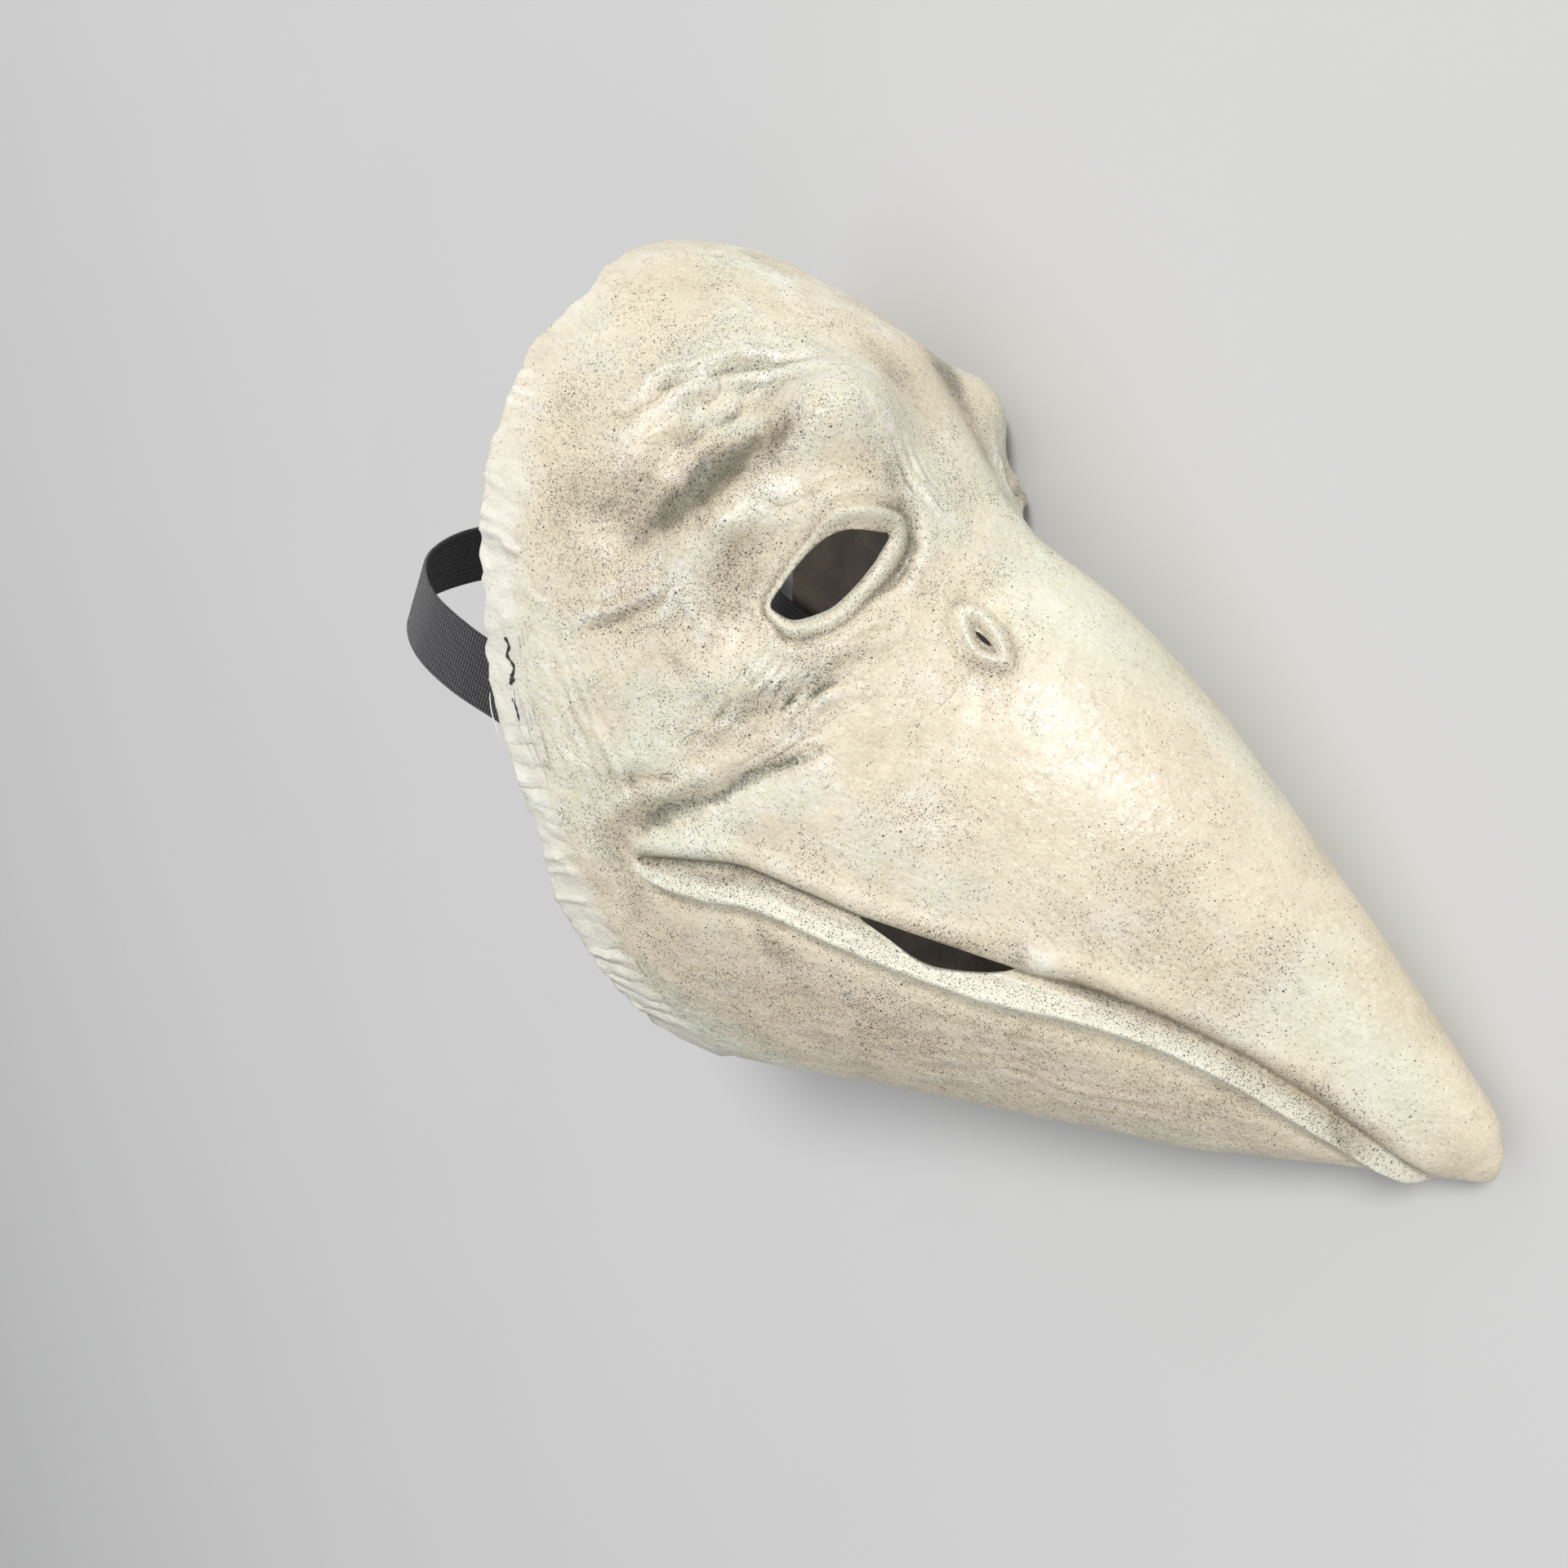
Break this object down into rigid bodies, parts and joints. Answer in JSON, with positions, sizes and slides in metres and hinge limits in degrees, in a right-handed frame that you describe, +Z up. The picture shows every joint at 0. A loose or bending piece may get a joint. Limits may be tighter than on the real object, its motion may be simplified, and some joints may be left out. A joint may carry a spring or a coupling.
{
  "type": "bird beak mask",
  "caption": "Hollow latex bird face mask with a long drooping beak, eye and mouth openings and an elastic head strap.",
  "frame": {"origin": "on the floor, under the middle of the mask's box as it lies on its left cheek", "axes": "+X the way the beak points, +Z up from the floor, +Y toward the forehead side"},
  "size_m": [0.3584, 0.2222, 0.166],
  "materials": {
    "latex": "satin bone paint over cast latex, washed brown in the folds",
    "elastic": "matt black ribbed woven elastic"
  },
  "bodies": {
    "root": {"mask_shell": "latex", "head_strap": "elastic"}
  },
  "joints": []
}
